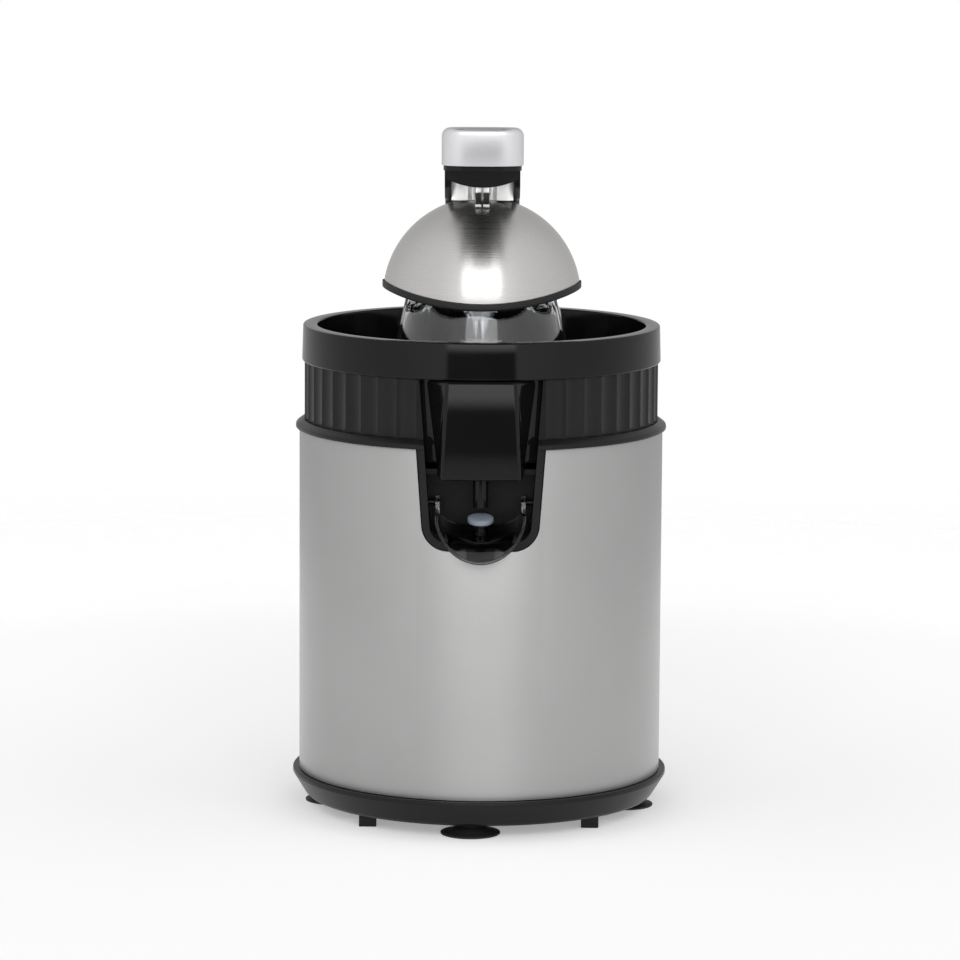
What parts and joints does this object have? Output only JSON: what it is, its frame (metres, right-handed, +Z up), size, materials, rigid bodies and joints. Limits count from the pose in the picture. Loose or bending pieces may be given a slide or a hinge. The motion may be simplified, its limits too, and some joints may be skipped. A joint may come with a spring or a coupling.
{
  "type": "citrus press juicer",
  "caption": "Tall round steel citrus juicer with a lever-operated press dome over a spinning clear reamer, a black juice bowl and a front spout with a drip-stop flap.",
  "frame": {"origin": "on the axis of the round body, on the surface that the feet stand on", "axes": "+Z up, -Y towards the spout and the lever's grip, +Y towards the column that carries the lever's hinge, +X to the right seen from the front"},
  "size_m": [0.2112, 0.2559, 0.3924],
  "materials": {
    "brushed_steel": "brushed stainless steel",
    "bright_metal": "polished cast metal",
    "satin_silver": "satin silver cover",
    "gloss_black": "gloss black plastic",
    "satin_black": "satin black plastic",
    "black_rubber": "soft black rubber",
    "blue_silicone": "blue-grey silicone",
    "clear_plastic": "clear moulded plastic",
    "smoke_plastic": "clear smoky moulded plastic",
    "white_nylon": "natural nylon",
    "machined_steel": "machined steel",
    "brass": "sintered bronze or brass"
  },
  "bodies": {
    "housing": {"base_pan": "satin_black", "suction_foot_front": "black_rubber", "suction_foot_right": "black_rubber", "suction_foot_rear": "black_rubber", "suction_foot_left": "black_rubber", "steel_shell": "brushed_steel", "cord_gland": "black_rubber", "tie_bolt_1": "machined_steel", "tie_bolt_2": "machined_steel", "tie_bolt_3": "machined_steel", "tie_bolt_4": "machined_steel", "upper_housing": "satin_black", "spindle_bush_upper": "brass", "spindle_bush_lower": "brass", "shaft_seal": "black_rubber", "gear_plate": "machined_steel", "gear_plate_screw_1": "machined_steel", "gear_plate_screw_2": "machined_steel", "gear_plate_screw_3": "machined_steel", "gear_plate_screw_4": "machined_steel", "idler_axle": "machined_steel", "motor_can": "machined_steel", "motor_end_cap": "white_nylon", "switch_bracket": "machined_steel", "microswitch": "gloss_black", "terminal_block": "white_nylon", "rear_column": "satin_black", "column_screw_lower": "machined_steel", "column_screw_upper": "machined_steel", "hinge_pin": "machined_steel", "juice_bowl": "gloss_black", "strainer": "satin_black"},
    "press": {"thrust_cup": "white_nylon", "return_spring": "machined_steel"},
    "button": {"switch_button": "brass"},
    "spindle": {"drive_spindle": "machined_steel", "output_gear": "white_nylon", "reamer_cone": "clear_plastic"},
    "idler": {"idler_gear": "white_nylon"},
    "rotor": {"motor_rotor": "machined_steel", "motor_pinion": "brass", "motor_fan": "white_nylon"},
    "flap": {"drip_flap": "smoke_plastic", "drip_seal": "blue_silicone"},
    "lever": {"lever_body": "satin_black", "lever_cap": "satin_silver", "neck_pin": "machined_steel"},
    "dome": {"press_dome": "brushed_steel", "dome_trim": "black_rubber", "dome_neck": "bright_metal", "dome_screw": "machined_steel", "tongue_pin": "machined_steel"},
    "tongue": {"release_tongue": "bright_metal"}
  },
  "joints": [
    {"name": "lever_hinge", "type": "hinge", "parent": "housing", "child": "lever", "pos_m": [0, 0.114, 0.354], "axis": [-1, 0, 0], "range_deg": [0, 95]},
    {"name": "dome_tilt", "type": "hinge", "parent": "lever", "child": "dome", "pos_m": [0, 0.003, 0.363], "axis": [-1, 0, 0], "range_deg": [-3, 2]},
    {"name": "tongue_release", "type": "hinge", "parent": "dome", "child": "tongue", "pos_m": [0, -0.01085, 0.35933], "axis": [-1, 0, 0], "range_deg": [0, 10], "stiffness_Nm_per_rad": 0.05, "springref_deg": -5.73},
    {"name": "flap_hinge", "type": "hinge", "parent": "housing", "child": "flap", "pos_m": [0, -0.072, 0.183], "axis": [-1, 0, 0], "range_deg": [0, 13]},
    {"name": "reamer_press", "type": "slide", "parent": "housing", "child": "press", "axis": [0, 0, 1], "range_m": [-0.0015, 0], "stiffness_N_per_m": 1500, "springref_m": 0.004, "deforming": ["return_spring"]},
    {"name": "switch_press", "type": "slide", "parent": "housing", "child": "button", "axis": [0, 0, 1], "range_m": [-0.0015, 0]},
    {"name": "reamer_spin", "type": "hinge", "parent": "press", "child": "spindle", "pos_m": [0, 0, 0.154], "axis": [0, 0, 1], "continuous": true},
    {"name": "idler_spin", "type": "hinge", "parent": "housing", "child": "idler", "pos_m": [0, 0.03775, 0.1635], "axis": [0, 0, 1], "continuous": true},
    {"name": "rotor_spin", "type": "hinge", "parent": "housing", "child": "rotor", "pos_m": [0.03325, 0.03775, 0.16], "axis": [0, 0, 1], "continuous": true}
  ],
  "couplings": [
    {"joint": "switch_press", "follows": "reamer_press", "ratio": 1},
    {"joint": "idler_spin", "follows": "reamer_spin", "ratio": -4},
    {"joint": "rotor_spin", "follows": "reamer_spin", "ratio": 13.6}
  ]
}
